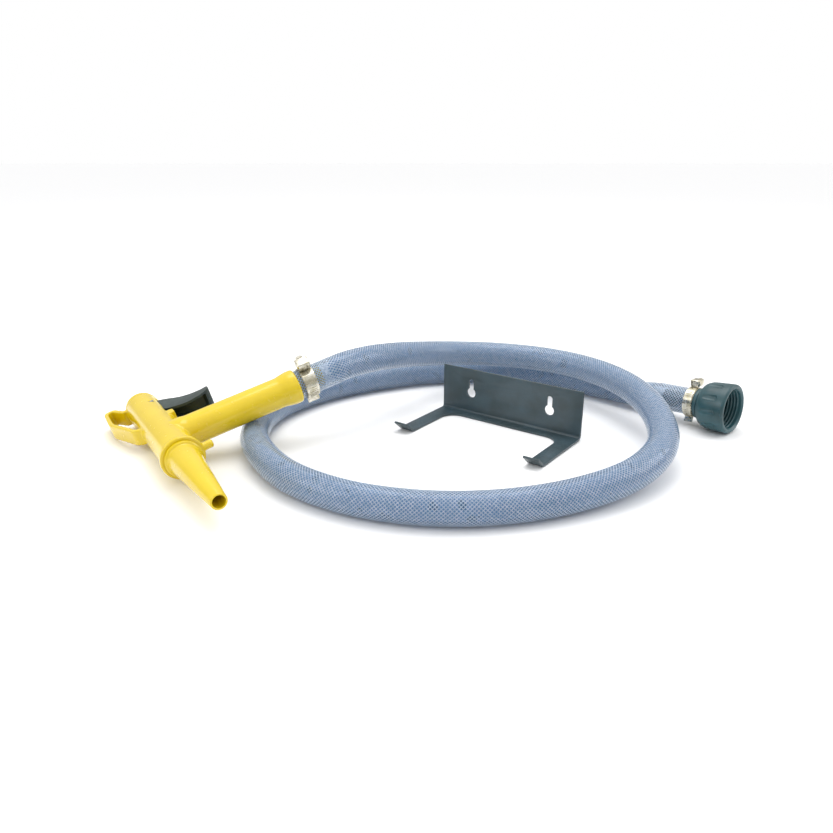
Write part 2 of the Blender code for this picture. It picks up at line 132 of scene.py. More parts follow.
# A node with its input values, and with other nodes' outputs linked to its inputs.
def addNode(tree, kind, settings=None, links=None):
    node = tree.nodes.new(kind)
    for name, value in (settings or {}).items():
        if name in node.inputs:
            node.inputs[name].default_value = value
        else:
            setattr(node, name, value)
    for name, output in (links or {}).items():
        tree.links.new(output, node.inputs[name])
    return node


# Two close shades of one colour in soft patches `1 / scale` metres across.
def mottled(tree, shader, coords, scale, dark, light, low=0.35, high=0.65):
    noise = addNode(tree, "ShaderNodeTexNoise", {"Scale": scale, "Detail": 4.0}, {"Vector": coords})
    ramp = addNode(tree, "ShaderNodeValToRGB", links={"Fac": noise.outputs["Fac"]})
    ramp.color_ramp.elements[0].position, ramp.color_ramp.elements[0].color = low, linear(dark)
    ramp.color_ramp.elements[1].position, ramp.color_ramp.elements[1].color = high, linear(light)
    tree.links.new(ramp.outputs["Color"], shader.inputs["Base Color"])
    return ramp


def roughened(tree, shader, coords, scale, low, high):
    noise = addNode(tree, "ShaderNodeTexNoise", {"Scale": scale, "Detail": 6.0}, {"Vector": coords})
    spread = addNode(
        tree, "ShaderNodeMapRange", {"From Min": 0.3, "From Max": 0.7, "To Min": low, "To Max": high},
        {"Value": noise.outputs["Fac"]},
    )
    tree.links.new(spread.outputs["Result"], shader.inputs["Roughness"])


# Fine relief: `scale` is in bumps per metre and `distance` is its height in metres.
def bumped(tree, shader, coords, scale, distance, strength=0.5):
    noise = addNode(tree, "ShaderNodeTexNoise", {"Scale": scale, "Detail": 5.0}, {"Vector": coords})
    bump = addNode(
        tree, "ShaderNodeBump", {"Strength": strength, "Distance": distance}, {"Height": noise.outputs["Fac"]}
    )
    tree.links.new(bump.outputs["Normal"], shader.inputs["Normal"])


def objectCoords(tree):
    return addNode(tree, "ShaderNodeTexCoord").outputs["Object"]


# Injection-moulded plastic: faint flow patches about 30 mm across and a fine grain under 1 mm.
def mouldedPlastic(name, dark, light, roughness, patch=30, grain=1500, relief=0.00002, coat=0.0):
    made, tree, shader = newMaterial(name, {"Specular IOR Level": 0.5, "Coat Weight": coat, "Coat Roughness": 0.1})
    coords = objectCoords(tree)
    mottled(tree, shader, coords, patch, dark, light)
    roughened(tree, shader, coords, 220, roughness[0], roughness[1])
    bumped(tree, shader, coords, grain, relief, 0.35)
    return made


# Plated or drawn metal with faint stains and a fine grain.
def turnedMetal(name, dark, light, roughness, grain=900):
    made, tree, shader = newMaterial(name, {"Metallic": 1.0})
    coords = objectCoords(tree)
    mottled(tree, shader, coords, 160, dark, light)
    roughened(tree, shader, coords, 500, roughness[0], roughness[1])
    bumped(tree, shader, coords, grain, 0.00003, 0.3)
    return made


# Satin powder coat on sheet steel, with orange peel about 0.6 mm across.
def bracketPaint():
    made, tree, shader = newMaterial("satin_green_grey_paint", {"Coat Weight": 0.15, "Coat Roughness": 0.25})
    coords = objectCoords(tree)
    mottled(tree, shader, coords, 45, "#2b3b40", "#354850")
    roughened(tree, shader, coords, 400, 0.36, 0.5)
    bumped(tree, shader, coords, 1700, 0.00006, 0.45)
    return made


# Flexible PVC with a blue tint, clear but slightly hazy.
def clearPvc():
    made, tree, shader = newMaterial(
        "clear_blue_pvc",
        {"Base Color": linear("#e4ecf6"), "Transmission Weight": 1.0, "IOR": 1.3, "Specular IOR Level": 0.6},
    )
    coords = objectCoords(tree)
    roughened(tree, shader, coords, 60, 0.05, 0.12)
    bumped(tree, shader, coords, 120, 0.0003, 0.2)
    return made


# The hose's inner wall, where the PVC's blue tint gathers.
def hazyPvc():
    made, tree, shader = newMaterial("hazy_blue_pvc", {"Transmission Weight": 0.45, "IOR": 1.3})
    coords = objectCoords(tree)
    mottled(tree, shader, coords, 25, "#4a80b5", "#5c90c4")
    roughened(tree, shader, coords, 60, 0.25, 0.4)
    return made


# Polyester reinforcement yarn: pale and soft, in lighter and darker patches about 2.5 mm across.
def braidYarn():
    made, tree, shader = newMaterial("polyester_yarn", {"Specular IOR Level": 0.4})
    coords = objectCoords(tree)
    mottled(tree, shader, coords, 400, "#b3c8dd", "#e3ebf4")
    roughened(tree, shader, coords, 800, 0.35, 0.6)
    return made


yellowPlastic = mouldedPlastic(
    "yellow_polyethylene", "#d8bb06", "#dec20c", (0.2, 0.28), grain=900, relief=0.000004, coat=0.35
)
darkPlastic = mouldedPlastic("dark_nylon", "#28322f", "#34423f", (0.38, 0.52), grain=2500, relief=0.00004)
tealPlastic = mouldedPlastic("dark_teal_polypropylene", "#203f44", "#2b5259", (0.3, 0.42), grain=2200)
zincPlate = turnedMetal("zinc_plated_steel", "#b9b39c", "#dcd8cc", (0.2, 0.36))
stainlessSteel = turnedMetal("stainless_steel", "#a8a8a6", "#c9c9c8", (0.2, 0.34))
springWire = turnedMetal("spring_steel_wire", "#8f9092", "#b4b5b8", (0.25, 0.38), grain=3000)
blackRubber = mouldedPlastic("nitrile_rubber", "#111212", "#1b1c1c", (0.6, 0.75), grain=3500, relief=0.00006)
paintedSteel = bracketPaint()
hosePvc = clearPvc()
hoseInnerPvc = hazyPvc()
hoseYarn = braidYarn()

# Shapes


def newObject(name, mesh, look=None):
    obj = bpy.data.objects.new(name, mesh)
    if look:
        mesh.materials.append(look)
    scene.collection.objects.link(obj)
    return obj


def evaluatedMesh(obj):
    graph = bpy.context.evaluated_depsgraph_get()
    return bpy.data.meshes.new_from_object(obj.evaluated_get(graph))


# Applies the modifiers and puts the place into the mesh, so that the piece stays at the origin.
def baked(obj, place):
    mesh = evaluatedMesh(obj)
    mesh.name = obj.name
    mesh.transform(place)
    old = obj.data
    obj.modifiers.clear()
    if obj.type == "MESH":
        obj.data = mesh
        return obj
    ownName = obj.name
    bpy.data.objects.remove(obj, do_unlink=True)
    bpy.data.curves.remove(old)
    return newObject(ownName, mesh)


def smooth(obj, degrees=35):
    obj.data.shade_smooth()
    obj.data.set_sharp_from_angle(angle=math.radians(degrees))
    return obj


# Turns (radius, height) points about Z. They run down the outside, then up the inside of a ring.
def turned(name, profile, place, look=None, steps=96, closed=False):
    mesh = bpy.data.meshes.new(name)
    edges = [(i, i + 1) for i in range(len(profile) - 1)]
    if closed:
        edges.append((len(profile) - 1, 0))
    mesh.from_pydata([(r * mm, 0, z * mm) for r, z in profile], edges, [])
    obj = newObject(name, mesh, look)
    screw = obj.modifiers.new("turn", "SCREW")
    screw.steps = screw.render_steps = steps
    screw.use_merge_vertices = True
    screw.merge_threshold = 0.000005
    return smooth(baked(obj, place))


def rod(name, radius, low, high, place, look=None, steps=48):
    return turned(name, [(0, high), (radius, high), (radius, low), (0, low)], place, look, steps)


def ring(name, outer, inner, low, high, place, look=None, steps=96):
    profile = [(outer, high), (outer, low), (inner, low), (inner, high)]
    return turned(name, profile, place, look, steps, closed=True)


def block(name, low, high, place, look=None):
    mesh = bpy.data.meshes.new(name)
    box = bmesh.new()
    size = [(b - a) * mm for a, b in zip(low, high)]
    centre = [(a + b) / 2 * mm for a, b in zip(low, high)]
    bmesh.ops.create_cube(box, matrix=Matrix.Translation(centre) @ Matrix.Diagonal((*size, 1)))
    box.to_mesh(mesh)
    box.free()
    mesh.transform(place)
    return newObject(name, mesh, look)


# Outline points from (x, y, radius) corners.
def rounded(corners, arcSteps=10):
    points = []
    for i, (x, y, radius) in enumerate(corners):
        here = Vector((x, y))
        before = Vector(corners[i - 1][:2]) - here
        after = Vector(corners[(i + 1) % len(corners)][:2]) - here
        if radius == 0:
            points.append(here)
            continue
        half = before.angle(after) / 2
        reach = radius / math.tan(half)
        centre = here + (before.normalized() + after.normalized()).normalized() * (radius / math.sin(half))
        start = here + before.normalized() * reach - centre
        end = here + after.normalized() * reach - centre
        swing = start.angle_signed(end)
        for k in range(arcSteps + 1):
            spun = start.copy()
            spun.rotate(Matrix.Rotation(-swing * k / arcSteps, 2))
            points.append(centre + spun)
    return points


# A flat outline in X and Y, with any holes, from low to high along Z.
def slab(name, outlines, low, high, place, look=None):
    curve = bpy.data.curves.new(name, "CURVE")
    curve.dimensions = "2D"
    curve.fill_mode = "BOTH"
    curve.extrude = (high - low) / 2 * mm
    for outline in outlines:
        spline = curve.splines.new("POLY")
        spline.points.add(len(outline) - 1)
        for point, (x, y) in zip(spline.points, outline):
            point.co = (x * mm, y * mm, 0, 1)
        spline.use_cyclic_u = True
    guide = newObject(name + "_outline", curve)
    mesh = evaluatedMesh(guide)
    bpy.data.objects.remove(guide, do_unlink=True)
    welded = bmesh.new()
    welded.from_mesh(mesh)
    bmesh.ops.remove_doubles(welded, verts=welded.verts, dist=0.000001)
    welded.to_mesh(mesh)
    welded.free()
    mesh.transform(place @ shift(0, 0, (low + high) / 2))
    return newObject(name, mesh, look)


# One Boolean with all the others at once, which are then removed.
def combined(obj, others, operation):
    group = bpy.data.collections.new(f"{obj.name}_{operation.lower()}")
    for other in others:
        group.objects.link(other)
    boolean = obj.modifiers.new(operation.lower(), "BOOLEAN")
    boolean.operation = operation
    boolean.operand_type = "COLLECTION"
    boolean.collection = group
    looks = list(obj.data.materials)
    baked(obj, Matrix())
    obj.data.materials.clear()
    for look in looks:
        obj.data.materials.append(look)
    obj.data.polygons.foreach_set("material_index", [0] * len(obj.data.polygons))
    for other in list(group.objects):
        bpy.data.objects.remove(other, do_unlink=True)
    bpy.data.collections.remove(group)
    return obj


def joined(obj, *others):
    return combined(obj, others, "UNION")


def cut(obj, *others):
    return combined(obj, others, "DIFFERENCE")


def softened(obj, width, segments=3, angle=35):
    bevel = obj.modifiers.new("soft_edges", "BEVEL")
    bevel.width = width * mm
    bevel.segments = segments
    bevel.limit_method = "ANGLE"
    bevel.angle_limit = math.radians(angle)
    return smooth(baked(obj, Matrix()), 50)


# Remeshes a joined solid, so that its corners and the roots of its ribs are rounded as in a mould.
def moulded(obj, voxel, rounds):
    remesh = obj.modifiers.new("voxels", "REMESH")
    remesh.mode = "VOXEL"
    remesh.voxel_size = voxel * mm
    remesh.use_smooth_shade = True
    relax = obj.modifiers.new("relax", "SMOOTH")
    relax.iterations = rounds
    relax.factor = 0.5
    baked(obj, Matrix())
    obj.data.shade_smooth()
    return obj


# Makes a piece move with its body and stand for its nodes.
def finished(obj, body, slot, *nodes):
    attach(obj, body)
    if nodes:
        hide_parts(*nodes)
    return obj


# Nozzle

barrel = {"radius": 16.0, "rear": -145.0, "collar": 18.3, "plug": -141.0, "capLength": 8.5}
handle = {"radius": 13.8, "length": 121.0, "bell": 15.5}


def makeNozzleBody():
    collar, rear, length, bell = barrel["collar"], barrel["rear"], handle["length"], handle["bell"]
    body = turned(
        "nozzleBody",
        [(0, -0.4), (collar - 0.5, -0.4), (collar, -1.0), (collar, -5.6), (collar - 0.6, -6.4),
         (barrel["radius"], -6.8), (barrel["radius"], rear), (0, rear)],
        barrelFrame, yellowPlastic,
    )
    grip = turned(
        "grip",
        [(0, length), (bell - 1.2, length), (bell - 0.3, length - 0.6), (bell, length - 2), (bell, length - 7),
         (bell - 0.4, length - 10), (handle["radius"], length - 17), (handle["radius"], 20),
         (handle["radius"] + 0.8, 15), (handle["radius"] + 0.8, 2), (0, 2)],
        handleFrame,
    )
    peg = turned(
        "peg", [(0, 26.5), (2.6, 26.5), (3.6, 25.5), (3.6, 8), (0, 8)],
        nozzleFrame @ shift(-4.6, 0, 0) @ turn(-90, "X"), steps=48,
    )
    outside = rounded(
        [(rear + 0.2, -5, 0), (rear + 0.2, -16.8, 2), (-159.9, -24, 5), (-158.9, -34, 6), (-124, -35.5, 30),
         (-84, -22, 12), (-72, -5, 0)]
    )
    inside = rounded(
        [(-140.5, -8, 0), (-140.5, -19.2, 2), (-155.7, -26.4, 2), (-155.0, -30.6, 3), (-124, -31.2, 26),
         (-87, -18.6, 9), (-78, -8, 0)]
    )
    loop = slab("loop", [outside], -7.5, 7.5, nozzleFrame)
    cut(loop, slab("loopHole", [inside], -15, 15, nozzleFrame))
    guard = block("guard", (-89.5, 9, -10.5), (-80.5, 18, 10.5), nozzleFrame)
    joined(body, loop, grip, peg, guard)
    gland = turned(
        "glandBore", [(0, -70), (2.6, -70), (2.6, -77), (5.2, -77), (5.2, -86), (0, -86)], barrelFrame
    )
    bore = turned(
        "handleBore", [(0, 125), (13.4, 125), (13.4, 112.9), (9.3, 112.9), (9.3, 6), (0, 6)], handleFrame
    )
    cut(
        body,
        rod("rearChamber", 11.3, rear - 5, -84, barrelFrame),
        rod("frontChamber", 11.0, -72, -15, barrelFrame),
        rod("spigotBore", 12.8, -16, 5, barrelFrame),
        gland,
        bore,
        block("triggerSlot", (-134.5, 4, -9.6), (-89.8, 24, 9.6), nozzleFrame),
        rod("pinHole", 2.2, -20, 20, pivotFrame),
    )
    moulded(body, 0.85, 3)
    return finished(body, "nozzle", "yellow_plastic", "nozzle_body")


def makeRearCap():
    top, radius, plug, length = barrel["rear"] - 0.3, barrel["radius"], barrel["plug"], barrel["capLength"]
    corner = [math.radians(10 * k) for k in range(10)]
    dome = [(radius - 5 + 5 * math.cos(a), top - length + 5.3 - 5 * math.sin(a)) for a in corner]
    cap = turned(
        "rearCap",
        [(0, plug), (10.9, plug), (10.9, top), (radius - 0.5, top), (radius, top - 0.5), *dome,
         (6, top - length + 0.1), (0, top - length)],
        barrelFrame, yellowPlastic,
    )
    return finished(cap, "nozzle", "yellow_plastic", "rear_cap")


def makeSpout():
    spout = turned(
        "spout",
        [(12.4, -10.8), (12.4, 0), (15.3, 0), (15.6, 0.4), (15.6, 2.2), (15.0, 3.0), (13.9, 3.5), (13.4, 4.6),
         (13.2, 7), (12.8, 12), (6.4, 92.3), (6.2, 92.8), (5.9, 93), (5.2, 93), (4.9, 92.7), (4.9, 85),
         (9.6, 8), (9.6, -10.8)][::-1],
        barrelFrame, yellowPlastic, closed=True,
    )
    return finished(spout, "nozzle", "yellow_plastic", "spout")


def makeTrigger():
    fingerSide = [(-9.5, 2.2), (-8.9, 5), (-7.6, 8), (-4.7, 11.9), (-1.5, 15.5), (2.8, 19.5), (6.5, 24),
                  (9.1, 28.9), (10.6, 34), (11.3, 39), (11.2, 44), (9.6, 50.2)]
    handleSide = [(15.6, 50.0), (19.1, 46.8), (21.5, 43), (24, 39.2), (25.5, 35), (27.1, 30), (27.6, 25),
                  (26.8, 19.8), (25.0, 15), (21.5, 8), (17.0, 3.6), (8.5, 1.8)]
    hub = [(4.4 * math.cos(a), 4.4 * math.sin(a)) for a in [math.radians(k) for k in range(0, -181, -10)]]
    trigger = slab("triggerLever", [fingerSide + handleSide + hub], -9.2, 9.2, pivotFrame, darkPlastic)
    pocket = [(5.2, 9), (4.5, 14.5), (9.8, 22.5), (14, 33), (14.6, 43), (24, 46), (34, 34), (34, 9)]
    cut(trigger, slab("pocket", [pocket], -6.9, 6.9, pivotFrame))
    arms = [block("arm", (-4.5, -13.3, low), (1.5, 0, low + 3), pivotFrame) for low in (-5.7, 2.7)]
    joined(trigger, *arms)
    cut(trigger, rod("triggerBore", 2.35, -20, 20, pivotFrame))
    softened(trigger, 0.7)
    return finished(trigger, "trigger", "dark_plastic", "trigger")


makeNozzleBody()
makeRearCap()
makeSpout()
makeTrigger()
print("nozzle made")

# Hose tails


def makeNozzleTail():
    barb = [(9.25, 143.0)]
    for crest in (139.0, 134.0, 129.0, 124.0):
        barb += [(9.25, crest), (8.5, crest - 0.6), (8.6, crest - 4.2)]
    tail = turned(
        "nozzleHoseTail",
        [(8.2, 144.5), *barb, (9.0, 119.0), (9.0, 92.0), (6.6, 92.0), (6.6, 144.5)],
        handleFrame, yellowPlastic, closed=True,
    )
    return finished(tail, "nozzle", "yellow_plastic", "nozzle_hose_tail")


def makeCouplingTail():
    barb = []
    for crest in (-14.0, -20.0, -26.0, -32.0):
        barb += [(8.5, crest + 4.8), (9.25, crest), (8.5, crest - 0.6)]
    tail = turned(
        "couplingHoseTail",
        [(17.2, 8.2), (17.2, 5.4), (12.2, 5.4), (12.2, -0.6), (14.1, -0.6), (14.6, -1.0), (14.8, -1.8),
         (14.4, -4.2), (9.0, -4.2), *barb, (8.4, -37.5), (6.8, -38.6), (6.8, 8.2)],
        couplingFrame, tealPlastic, closed=True,
    )
    return finished(tail, "nozzle", "dark_teal_plastic", "coupling_hose_tail")


def makeNut():
    outer, length, bore = 23.6, 30.0, 18.8
    nut = turned(
        "couplingNut",
        [(bore + 1.4, length), (outer - 1.8, length), (outer - 0.8, length - 0.5), (outer - 0.3, length - 1.3),
         (outer, length - 2.8), (outer - 0.2, length - 8), (22.9, 12), (22.4, 8), (21.4, 5), (20.2, 3.0),
         (18.5, 1.6), (15.4, 0), (12.8, 0), (12.8, 5), (bore, 5), (bore, length - 1.4)],
        couplingFrame, tealPlastic, steps=120, closed=True,
    )
    flutes = [
        turned(
            "flute",
            [(0, length - 6.5), (2.4, length - 7.4), (4.2, length - 9.6), (4.2, 8), (2.4, 5.8), (0, 5.2)],
            couplingFrame @ turn(36 * k, "Z") @ shift(outer + 2.6, 0, 0), steps=32,
        )
        for k in range(10)
    ]
    cut(nut, *flutes)
    softened(nut, 0.35, 2)
    return finished(nut, "nut", "dark_teal_plastic", "coupling_nut")


# A coarse rounded thread, 3 mm a turn, standing 0.8 mm out of the nut's bore.
def makeNutThread():
    mesh = bpy.data.meshes.new("couplingThread")
    profile = [(19.0, -1.2), (18.1, -0.45), (18.0, 0.0), (18.1, 0.45), (19.0, 1.2)]
    mesh.from_pydata([(r * mm, 0, (z + 14.5) * mm) for r, z in profile], [(i, (i + 1) % 5) for i in range(5)], [])
    thread = newObject("couplingThread", mesh, tealPlastic)
    screw = thread.modifiers.new("thread", "SCREW")
    screw.steps = screw.render_steps = 72
    screw.screw_offset = 3.0 * mm
    screw.iterations = 4
    smooth(baked(thread, couplingFrame), 50)
    return finished(thread, "nut", "dark_teal_plastic")


makeNozzleTail()
couplingTail = makeCouplingTail()
couplingNut = makeNut()
couplingThread = makeNutThread()
print("hose tails and coupling made")

# Hose clamps


# A worm-drive clamp. Its place has Z along the hose and X towards the screw housing.
def makeClamp(prefix, place, width, node, screwBody):
    half, bandRadius, thick, screwHeight = width / 2, 13.4, 0.7, 18.2
    band = ring(prefix + "Band", bandRadius + thick, bandRadius, -half, half, place, zincPlate)
    tail = ring(prefix + "Tail", bandRadius + 2 * thick, bandRadius + 0.2, -half + 0.4, half - 0.4, place)
    away = block("away", (-20, -20, -20), (20, 0, 20), place @ turn(-25, "Z"))
    slots = [
        block("slot", (bandRadius + 0.9, -0.55, -half + 2), (bandRadius + 3, 0.55, half - 2), place @ turn(angle, "Z"))
        for angle in range(36, 150, 9)
    ]
    cut(tail, away, *slots)
    lug = block(
        "lug", (bandRadius + 0.3, -0.9, -half + 0.4), (bandRadius + 6.5, 0, half - 0.4), place @ turn(155, "Z")
    )
    joined(band, tail, lug)
    softened(band, 0.14, 2)
    finished(band, "nozzle", "zinc_steel", node + "_band")
    screwPlace = place @ shift(screwHeight, 0, 0) @ turn(90, "X")
    housing = block(
        prefix + "Housing", (bandRadius + 2 * thick + 0.3, -9.5, -half), (screwHeight + 3.8, 0.5, half), place, zincPlate
    )
    softened(housing, 1.3, 4)
    cut(housing, rod("housingBore", 3.0, -30, 30, screwPlace))
    smooth(housing, 40)
    finished(housing, "nozzle", "zinc_steel", node + "_housing")
    screw = turned(
        prefix + "Screw",
        [(0, 13.6), (2.3, 13.6), (2.7, 13.3), (2.8, 12.8), (2.8, 10.8), (3.6, 10.6), (3.6, 10.0), (2.6, 9.8),
         (2.6, -0.2), (0, -0.2)],
        screwPlace, zincPlate, steps=48,
    )
    hexHead = slab(
        "hexHead", [[(3.6 * math.cos(k * math.pi / 3), 3.6 * math.sin(k * math.pi / 3)) for k in range(6)]],
        10.4, 13.2, screwPlace,
    )
    joined(screw, hexHead)
    cut(screw, block("screwSlot", (-6, -0.5, 12.5), (6, 0.5, 15), screwPlace))
    softened(screw, 0.2, 2)
    finished(screw, screwBody, "zinc_steel", node + "_screw")
    return [band, housing, screw]


makeClamp("nozzleClamp", handleFrame @ shift(0, 0, 131) @ turn(-66, "Z"), 12, "nozzle_clamp", "nozzle_screw")
couplingClamp = makeClamp(
    "couplingClamp", couplingFrame @ shift(0, 0, -9.5) @ turn(-90, "Z"), 9, "coupling_clamp", "coupling_screw"
)
print("clamps made")

# Hose


# Points every `spacing` along a centripetal Catmull-Rom curve through the given points.
def smoothCurve(points, spacing):
    points = [Vector(p) for p in points]
    padded = [2 * points[0] - points[1], *points, 2 * points[-1] - points[-2]]
    fine = []
    for a, b, c, d in zip(padded, padded[1:], padded[2:], padded[3:]):
        t0, t1 = 0.0, math.sqrt((b - a).length)
        t2 = t1 + math.sqrt((c - b).length)
        t3 = t2 + math.sqrt((d - c).length)
        for k in range(48):
            t = t1 + (t2 - t1) * k / 48
            ab = a.lerp(b, (t - t0) / (t1 - t0))
            bc = b.lerp(c, (t - t1) / (t2 - t1))
            cd = c.lerp(d, (t - t2) / (t3 - t2))
            abc = ab.lerp(bc, (t - t0) / (t2 - t0))
            bcd = bc.lerp(cd, (t - t1) / (t3 - t1))
            fine.append(abc.lerp(bcd, (t - t1) / (t2 - t1)))
    fine.append(points[-1])
    total = sum((q - p).length for p, q in zip(fine, fine[1:]))
    count = round(total / spacing)
    even, walked, goal = [fine[0]], 0.0, total / count
    for p, q in zip(fine, fine[1:]):
        step = (q - p).length
        while walked + step >= goal * len(even) and len(even) < count:
            even.append(p.lerp(q, (goal * len(even) - walked) / step))
        walked += step
    return even + [fine[-1]]


def along(place, height):
    return (place @ Vector((0, 0, height * mm))) / mm


# The hose's middle line, from inside the nozzle's bell to the end of the coupling's cuff, in metres.
def hosePath(spacing):
    start, bell = hose["cuffAtNozzle"]
    cuff, end = hose["cuffAtCoupling"]
    first = [along(handleFrame, start), along(handleFrame, start + 24), along(handleFrame, bell + 4)]
    last = [along(couplingFrame, cuff - 4), along(couplingFrame, end - 20), along(couplingFrame, end)]
    return [p * mm for p in smoothCurve([*first, *hose["route"], *last], spacing)]


# The path's sideways directions at each point, carried along it without a twist.
def crossFrames(path):
    side = (path[1] - path[0]).orthogonal().normalized()
    frames = []
    for i in range(len(path)):
        ahead = (path[min(i + 1, len(path) - 1)] - path[max(i - 1, 0)]).normalized()
        side = (side - ahead * side.dot(ahead)).normalized()
        frames.append((side, ahead.cross(side)))
    return frames


# One closed tube wall: out along the outside, then back along the inside.
def makeHoseWall(path, outer, inner, sides):
    frames = crossFrames(path)
    stations = [(i, outer) for i in range(len(path))] + [(i, inner) for i in reversed(range(len(path)))]
    points, faces = [], []
    for i, radius in stations:
        side, up = frames[i]
        for k in range(sides):
            angle = 2 * math.pi * k / sides
            points.append(path[i] + (side * math.cos(angle) + up * math.sin(angle)) * radius * mm)
    for row in range(len(stations)):
        below, above = row * sides, (row + 1) % len(stations) * sides
        for k in range(sides):
            after = (k + 1) % sides
            faces.append((below + k, below + after, above + after, above + k))
    mesh = bpy.data.meshes.new("hoseWall")
    mesh.from_pydata(points, [], faces)
    return mesh


# Sweeps a ring of short flat profiles along the path, turning it so that each becomes a helix.
def braidNodes():
    tree = bpy.data.node_groups.new("braid", "GeometryNodeTree")
    face = tree.interface
    face.new_socket("Geometry", in_out="INPUT", socket_type="NodeSocketGeometry")
    sizes = {}
    for name in ("Radius", "Strand Width", "Turn Per Metre"):
        sizes[name] = face.new_socket(name, in_out="INPUT", socket_type="NodeSocketFloat").identifier
    sizes["Strands"] = face.new_socket("Strands", in_out="INPUT", socket_type="NodeSocketInt").identifier
    sizes["Material"] = face.new_socket("Material", in_out="INPUT", socket_type="NodeSocketMaterial").identifier
    face.new_socket("Geometry", in_out="OUTPUT", socket_type="NodeSocketGeometry")
    given = addNode(tree, "NodeGroupInput").outputs
    place = addNode(tree, "GeometryNodeSplineParameter").outputs["Length"]
    twist = addNode(tree, "ShaderNodeMath", {"operation": "MULTIPLY"})
    tree.links.new(place, twist.inputs[0])
    tree.links.new(given["Turn Per Metre"], twist.inputs[1])
    tilted = addNode(
        tree, "GeometryNodeSetCurveTilt", links={"Curve": given["Geometry"], "Tilt": twist.outputs[0]}
    )
    circle = addNode(
        tree, "GeometryNodeCurvePrimitiveCircle", links={"Resolution": given["Strands"], "Radius": given["Radius"]}
    )
    halfWidth = addNode(tree, "ShaderNodeMath", {"operation": "MULTIPLY"}, {0: given["Strand Width"]})
    halfWidth.inputs[1].default_value = 0.5
    otherWay = addNode(tree, "ShaderNodeMath", {"operation": "MULTIPLY"}, {0: given["Strand Width"]})
    otherWay.inputs[1].default_value = -0.5
    start = addNode(tree, "ShaderNodeCombineXYZ", links={"X": otherWay.outputs[0]})
    end = addNode(tree, "ShaderNodeCombineXYZ", links={"X": halfWidth.outputs[0]})
    line = addNode(
        tree, "GeometryNodeCurvePrimitiveLine", links={"Start": start.outputs[0], "End": end.outputs[0]}
    )
    facing = addNode(
        tree, "FunctionNodeAlignRotationToVector", {"axis": "X"},
        {"Vector": addNode(tree, "GeometryNodeInputTangent").outputs[0]},
    )
    placed = addNode(
        tree, "GeometryNodeInstanceOnPoints",
        links={"Points": circle.outputs["Curve"], "Instance": line.outputs[0], "Rotation": facing.outputs[0]},
    )
    profiles = addNode(tree, "GeometryNodeRealizeInstances", links={"Geometry": placed.outputs[0]})
    swept = addNode(
        tree, "GeometryNodeCurveToMesh",
        links={"Curve": tilted.outputs[0], "Profile Curve": profiles.outputs[0]},
    )
    whole = addNode(tree, "GeometryNodeRealizeInstances", links={"Geometry": swept.outputs[0]})
    coloured = addNode(
        tree, "GeometryNodeSetMaterial", links={"Geometry": whole.outputs[0], "Material": given["Material"]}
    )
    addNode(tree, "NodeGroupOutput", links={"Geometry": coloured.outputs[0]})
    return tree, sizes


# One set of strands, all wound the same way at 45 degrees.
def makeBraidLayer(tree, sizes, path, radius, direction):
    curve = bpy.data.curves.new("braidPath", "CURVE")
    curve.dimensions = "3D"
    spline = curve.splines.new("POLY")
    spline.points.add(len(path) - 1)
    for point, place in zip(spline.points, path):
        point.co = (*place, 1)
    guide = newObject("braidPath", curve)
    modifier = guide.modifiers.new("braid", "NODES")
    modifier.node_group = tree
    modifier[sizes["Radius"]] = radius * mm
    modifier[sizes["Strand Width"]] = hose["strandWidth"] * mm
    modifier[sizes["Turn Per Metre"]] = direction / (radius * mm)
    modifier[sizes["Strands"]] = hose["strands"]
    modifier[sizes["Material"]] = hoseYarn
    mesh = evaluatedMesh(guide)
    bpy.data.objects.remove(guide, do_unlink=True)
    return mesh


def makeHose():
    path = hosePath(4)
    wall = makeHoseWall(path, hose["radius"], hose["bore"], hose["sides"])
    tree, sizes = braidNodes()
    braidPath = hosePath(2.5)[1:-1]
    layers = [
        makeBraidLayer(tree, sizes, braidPath, hose["braidRadius"], 1),
        makeBraidLayer(tree, sizes, braidPath, hose["braidRadius"] - 0.25, -1),
    ]
    whole = bmesh.new()
    whole.from_mesh(wall)
    wallFaces = len(whole.faces)
    for layer in layers:
        whole.from_mesh(layer)
    clearFaces = hose["clearStations"] * hose["sides"]
    insideFrom, insideTo = wallFaces / 2 + clearFaces, wallFaces - clearFaces
    for i, face in enumerate(whole.faces):
        face.material_index = 1 if i >= wallFaces else 2 if insideFrom < i < insideTo else 0
        face.smooth = True
    mesh = bpy.data.meshes.new("braidedHose")
    whole.to_mesh(mesh)
    whole.free()
    made = newObject("braidedHose", mesh)
    mesh.materials.append(hosePvc)
    mesh.materials.append(hoseYarn)
    mesh.materials.append(hoseInnerPvc)
    finished(made, "nozzle", "clear_pvc", "hose", "hose_end_at_nozzle", "hose_end_at_coupling")
    return made


makeHose()
print("hose made")

# Bracket

bracket = {"width": 152.4, "height": 47.2, "sheet": 2.0, "web": 13.0, "armWidth": 15.0, "reach": 75.5, "tip": 85.6}


def keyhole(roundRadius=5.0, slotRadius=2.8, slotMiddle=11.4):
    flank = math.asin(slotRadius / roundRadius)
    roundEnd = [math.pi - flank + (2 * flank - 2 * math.pi) * k / 40 for k in range(41)]
    slotEnd = [math.pi - math.pi * k / 16 for k in range(17)]
    outline = [(roundRadius * math.sin(a), -roundRadius * math.cos(a)) for a in roundEnd]
    return outline + [(slotRadius * math.cos(a), slotMiddle + slotRadius * math.sin(a)) for a in slotEnd]


